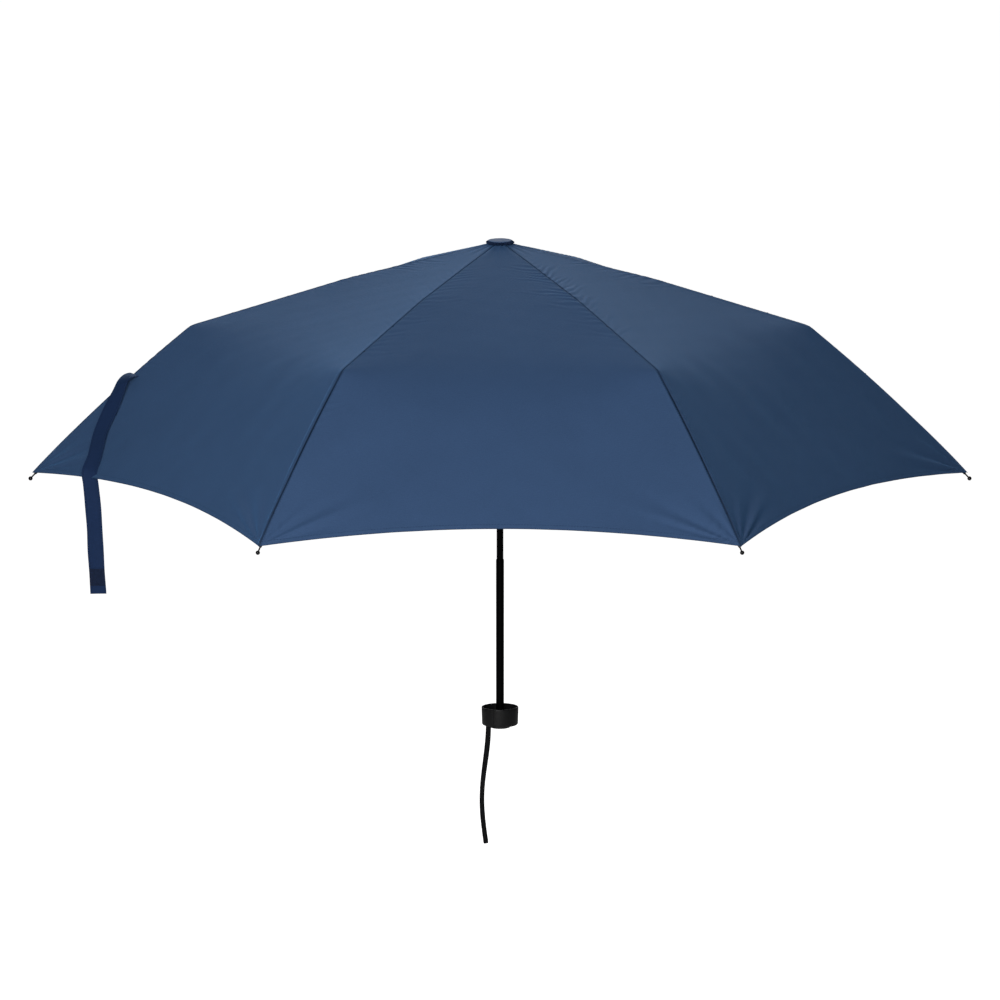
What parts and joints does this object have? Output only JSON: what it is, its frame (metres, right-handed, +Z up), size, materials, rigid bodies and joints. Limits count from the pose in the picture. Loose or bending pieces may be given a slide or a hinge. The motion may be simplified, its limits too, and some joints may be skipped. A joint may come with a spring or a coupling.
{
  "type": "compact folding umbrella",
  "caption": "Open pocket umbrella with a telescopic shaft, three-part folding ribs, a faceted cloth canopy, a cup handle and a wrist loop.",
  "frame": {"origin": "on the shaft's axis at the middle of the handle's flat underside, where the hand holds it", "axes": "+Z up the shaft to the cap; +X along rib 1; the closure strap is on the rib at -X; -Y is the front"},
  "size_m": [0.942, 0.8162, 0.609],
  "materials": {
    "handle_plastic": "satin",
    "notch_plastic": "satin",
    "tip_plastic": "satin",
    "cap_plastic": "satin",
    "black_tube": "semi-gloss",
    "rod_black": "satin",
    "rib_steel": "satin",
    "wire_steel": "bright",
    "canopy_cloth": "fine woven, slight sheen",
    "canopy_cloth_dark": "fine woven",
    "strap_cloth": "fine woven",
    "hook_patch": "hook and loop",
    "black_webbing": "ribbed"
  },
  "bodies": {
    "handle": {"handle_cup": "handle_plastic", "handle_base": "handle_plastic", "wrist_pin": "wire_steel", "lower_tube": "black_tube"},
    "wrist_loop": {"wrist_loop": "black_webbing"},
    "middle_tube": {"middle_tube": "black_tube", "lower_button": "wire_steel"},
    "top_tube": {"top_tube": "black_tube", "upper_button": "wire_steel", "crown": "notch_plastic", "crown_wire": "wire_steel", "runner_catch": "wire_steel", "cap_ruffle": "canopy_cloth_dark", "cap_disc": "cap_plastic", "canopy_panel_1": "canopy_cloth", "canopy_panel_2": "canopy_cloth", "canopy_panel_3": "canopy_cloth", "canopy_panel_4": "canopy_cloth", "canopy_panel_5": "canopy_cloth", "canopy_panel_6": "canopy_cloth"},
    "runner": {"runner": "notch_plastic", "runner_wire": "wire_steel"},
    "rib_inner_1": {"rib_inner_1": "rib_steel"},
    "rib_middle_1": {"rib_middle_1": "rib_steel"},
    "rib_outer_1": {"rib_outer_1": "rod_black", "rib_tip_1": "tip_plastic"},
    "stretcher_1": {"stretcher_1": "rib_steel"},
    "rib_inner_2": {"rib_inner_2": "rib_steel"},
    "rib_middle_2": {"rib_middle_2": "rib_steel"},
    "rib_outer_2": {"rib_outer_2": "rod_black", "rib_tip_2": "tip_plastic"},
    "stretcher_2": {"stretcher_2": "rib_steel"},
    "rib_inner_3": {"rib_inner_3": "rib_steel"},
    "rib_middle_3": {"rib_middle_3": "rib_steel"},
    "rib_outer_3": {"rib_outer_3": "rod_black", "rib_tip_3": "tip_plastic"},
    "stretcher_3": {"stretcher_3": "rib_steel"},
    "rib_inner_4": {"rib_inner_4": "rib_steel"},
    "rib_middle_4": {"rib_middle_4": "rib_steel"},
    "rib_outer_4": {"rib_outer_4": "rod_black", "rib_tip_4": "tip_plastic"},
    "stretcher_4": {"stretcher_4": "rib_steel"},
    "rib_inner_5": {"rib_inner_5": "rib_steel"},
    "rib_middle_5": {"rib_middle_5": "rib_steel"},
    "rib_outer_5": {"rib_outer_5": "rod_black", "rib_tip_5": "tip_plastic"},
    "stretcher_5": {"stretcher_5": "rib_steel"},
    "rib_inner_6": {"rib_inner_6": "rib_steel"},
    "rib_middle_6": {"rib_middle_6": "rib_steel"},
    "rib_outer_6": {"rib_outer_6": "rod_black", "rib_tip_6": "tip_plastic"},
    "stretcher_6": {"stretcher_6": "rib_steel"},
    "closure_strap": {"closure_strap": "strap_cloth", "closure_patch": "hook_patch"}
  },
  "joints": [
    {"name": "wrist_loop_swing", "type": "hinge", "parent": "handle", "child": "wrist_loop", "pos_m": [-0.01162, -0.00726, 0.0039], "axis": [-0.848, -0.5299, 0], "range_deg": [-45, 45]},
    {"name": "middle_tube_slide", "type": "slide", "parent": "handle", "child": "middle_tube", "axis": [0, 0, -1], "range_m": [0, 0.13], "deforming": ["lower_button"]},
    {"name": "top_tube_slide", "type": "slide", "parent": "middle_tube", "child": "top_tube", "axis": [0, 0, -1], "range_m": [0, 0.13], "deforming": ["upper_button"]},
    {"name": "canopy_fold", "type": "hinge", "parent": "top_tube", "child": "rib_inner_1", "pos_m": [0.0075, 0, 0.48865], "axis": [0, 1, 0], "range_deg": [0, 74.5], "deforming": ["canopy_panel_1", "canopy_panel_2", "canopy_panel_3", "canopy_panel_4", "canopy_panel_5", "canopy_panel_6", "runner_catch", "closure_strap", "closure_patch"]},
    {"name": "rib_middle_1_hinge", "type": "hinge", "parent": "rib_inner_1", "child": "rib_middle_1", "pos_m": [0.15342, 0, 0.45388], "axis": [0, 1, 0], "range_deg": [-187, 0]},
    {"name": "rib_outer_1_hinge", "type": "hinge", "parent": "rib_middle_1", "child": "rib_outer_1", "pos_m": [0.30662, 0, 0.40432], "axis": [0, 1, 0], "range_deg": [0, 160]},
    {"name": "stretcher_1_hinge", "type": "hinge", "parent": "rib_inner_1", "child": "stretcher_1", "pos_m": [0.08463, 0, 0.4673], "axis": [0, 1, 0], "range_deg": [-156, 0]},
    {"name": "rib_inner_2_hinge", "type": "hinge", "parent": "top_tube", "child": "rib_inner_2", "pos_m": [0.00375, 0.0065, 0.48865], "axis": [-0.866, 0.5, 0], "range_deg": [0, 78]},
    {"name": "rib_middle_2_hinge", "type": "hinge", "parent": "rib_inner_2", "child": "rib_middle_2", "pos_m": [0.07671, 0.13287, 0.45388], "axis": [-0.866, 0.5, 0], "range_deg": [-187, 0]},
    {"name": "rib_outer_2_hinge", "type": "hinge", "parent": "rib_middle_2", "child": "rib_outer_2", "pos_m": [0.15331, 0.26554, 0.40432], "axis": [-0.866, 0.5, 0], "range_deg": [0, 160]},
    {"name": "stretcher_2_hinge", "type": "hinge", "parent": "rib_inner_2", "child": "stretcher_2", "pos_m": [0.04231, 0.07329, 0.4673], "axis": [-0.866, 0.5, 0], "range_deg": [-156, 0]},
    {"name": "rib_inner_3_hinge", "type": "hinge", "parent": "top_tube", "child": "rib_inner_3", "pos_m": [-0.00375, 0.0065, 0.48865], "axis": [-0.866, -0.5, 0], "range_deg": [0, 78]},
    {"name": "rib_middle_3_hinge", "type": "hinge", "parent": "rib_inner_3", "child": "rib_middle_3", "pos_m": [-0.07671, 0.13287, 0.45388], "axis": [-0.866, -0.5, 0], "range_deg": [-187, 0]},
    {"name": "rib_outer_3_hinge", "type": "hinge", "parent": "rib_middle_3", "child": "rib_outer_3", "pos_m": [-0.15331, 0.26554, 0.40432], "axis": [-0.866, -0.5, 0], "range_deg": [0, 160]},
    {"name": "stretcher_3_hinge", "type": "hinge", "parent": "rib_inner_3", "child": "stretcher_3", "pos_m": [-0.04231, 0.07329, 0.4673], "axis": [-0.866, -0.5, 0], "range_deg": [-156, 0]},
    {"name": "rib_inner_4_hinge", "type": "hinge", "parent": "top_tube", "child": "rib_inner_4", "pos_m": [-0.0075, 0, 0.48865], "axis": [0, -1, 0], "range_deg": [0, 78]},
    {"name": "rib_middle_4_hinge", "type": "hinge", "parent": "rib_inner_4", "child": "rib_middle_4", "pos_m": [-0.15342, 0, 0.45388], "axis": [0, -1, 0], "range_deg": [-187, 0]},
    {"name": "rib_outer_4_hinge", "type": "hinge", "parent": "rib_middle_4", "child": "rib_outer_4", "pos_m": [-0.30662, 0, 0.40432], "axis": [0, -1, 0], "range_deg": [0, 160]},
    {"name": "stretcher_4_hinge", "type": "hinge", "parent": "rib_inner_4", "child": "stretcher_4", "pos_m": [-0.08463, 0, 0.4673], "axis": [0, -1, 0], "range_deg": [-156, 0]},
    {"name": "rib_inner_5_hinge", "type": "hinge", "parent": "top_tube", "child": "rib_inner_5", "pos_m": [-0.00375, -0.0065, 0.48865], "axis": [0.866, -0.5, 0], "range_deg": [0, 78]},
    {"name": "rib_middle_5_hinge", "type": "hinge", "parent": "rib_inner_5", "child": "rib_middle_5", "pos_m": [-0.07671, -0.13287, 0.45388], "axis": [0.866, -0.5, 0], "range_deg": [-187, 0]},
    {"name": "rib_outer_5_hinge", "type": "hinge", "parent": "rib_middle_5", "child": "rib_outer_5", "pos_m": [-0.15331, -0.26554, 0.40432], "axis": [0.866, -0.5, 0], "range_deg": [0, 160]},
    {"name": "stretcher_5_hinge", "type": "hinge", "parent": "rib_inner_5", "child": "stretcher_5", "pos_m": [-0.04231, -0.07329, 0.4673], "axis": [0.866, -0.5, 0], "range_deg": [-156, 0]},
    {"name": "rib_inner_6_hinge", "type": "hinge", "parent": "top_tube", "child": "rib_inner_6", "pos_m": [0.00375, -0.0065, 0.48865], "axis": [0.866, 0.5, 0], "range_deg": [0, 78]},
    {"name": "rib_middle_6_hinge", "type": "hinge", "parent": "rib_inner_6", "child": "rib_middle_6", "pos_m": [0.07671, -0.13287, 0.45388], "axis": [0.866, 0.5, 0], "range_deg": [-187, 0]},
    {"name": "rib_outer_6_hinge", "type": "hinge", "parent": "rib_middle_6", "child": "rib_outer_6", "pos_m": [0.15331, -0.26554, 0.40432], "axis": [0.866, 0.5, 0], "range_deg": [0, 160]},
    {"name": "stretcher_6_hinge", "type": "hinge", "parent": "rib_inner_6", "child": "stretcher_6", "pos_m": [0.04231, -0.07329, 0.4673], "axis": [0.866, 0.5, 0], "range_deg": [-156, 0]},
    {"name": "runner_hinge", "type": "hinge", "parent": "stretcher_1", "child": "runner", "pos_m": [0.0075, 0, 0.44594], "axis": [0, 1, 0], "range_deg": [0, 78]},
    {"name": "closure_strap_flip", "type": "hinge", "parent": "rib_outer_4", "child": "closure_strap", "pos_m": [-0.37584, -0.004, 0.35428], "axis": [-0.7401, 0, -0.6725], "range_deg": [0, 90]}
  ],
  "couplings": [
    {"joint": "rib_middle_1_hinge", "follows": "canopy_fold", "ratio": -2.4268},
    {"joint": "rib_outer_1_hinge", "follows": "canopy_fold", "ratio": 2.0779},
    {"joint": "stretcher_1_hinge", "follows": "canopy_fold", "ratio": -2},
    {"joint": "rib_inner_2_hinge", "follows": "canopy_fold", "ratio": 1},
    {"joint": "rib_middle_2_hinge", "follows": "canopy_fold", "ratio": -2.4268},
    {"joint": "rib_outer_2_hinge", "follows": "canopy_fold", "ratio": 2.0779},
    {"joint": "stretcher_2_hinge", "follows": "canopy_fold", "ratio": -2},
    {"joint": "rib_inner_3_hinge", "follows": "canopy_fold", "ratio": 1},
    {"joint": "rib_middle_3_hinge", "follows": "canopy_fold", "ratio": -2.4268},
    {"joint": "rib_outer_3_hinge", "follows": "canopy_fold", "ratio": 2.0779},
    {"joint": "stretcher_3_hinge", "follows": "canopy_fold", "ratio": -2},
    {"joint": "rib_inner_4_hinge", "follows": "canopy_fold", "ratio": 1},
    {"joint": "rib_middle_4_hinge", "follows": "canopy_fold", "ratio": -2.4268},
    {"joint": "rib_outer_4_hinge", "follows": "canopy_fold", "ratio": 2.0779},
    {"joint": "stretcher_4_hinge", "follows": "canopy_fold", "ratio": -2},
    {"joint": "rib_inner_5_hinge", "follows": "canopy_fold", "ratio": 1},
    {"joint": "rib_middle_5_hinge", "follows": "canopy_fold", "ratio": -2.4268},
    {"joint": "rib_outer_5_hinge", "follows": "canopy_fold", "ratio": 2.0779},
    {"joint": "stretcher_5_hinge", "follows": "canopy_fold", "ratio": -2},
    {"joint": "rib_inner_6_hinge", "follows": "canopy_fold", "ratio": 1},
    {"joint": "rib_middle_6_hinge", "follows": "canopy_fold", "ratio": -2.4268},
    {"joint": "rib_outer_6_hinge", "follows": "canopy_fold", "ratio": 2.0779},
    {"joint": "stretcher_6_hinge", "follows": "canopy_fold", "ratio": -2},
    {"joint": "runner_hinge", "follows": "canopy_fold", "ratio": 1}
  ]
}
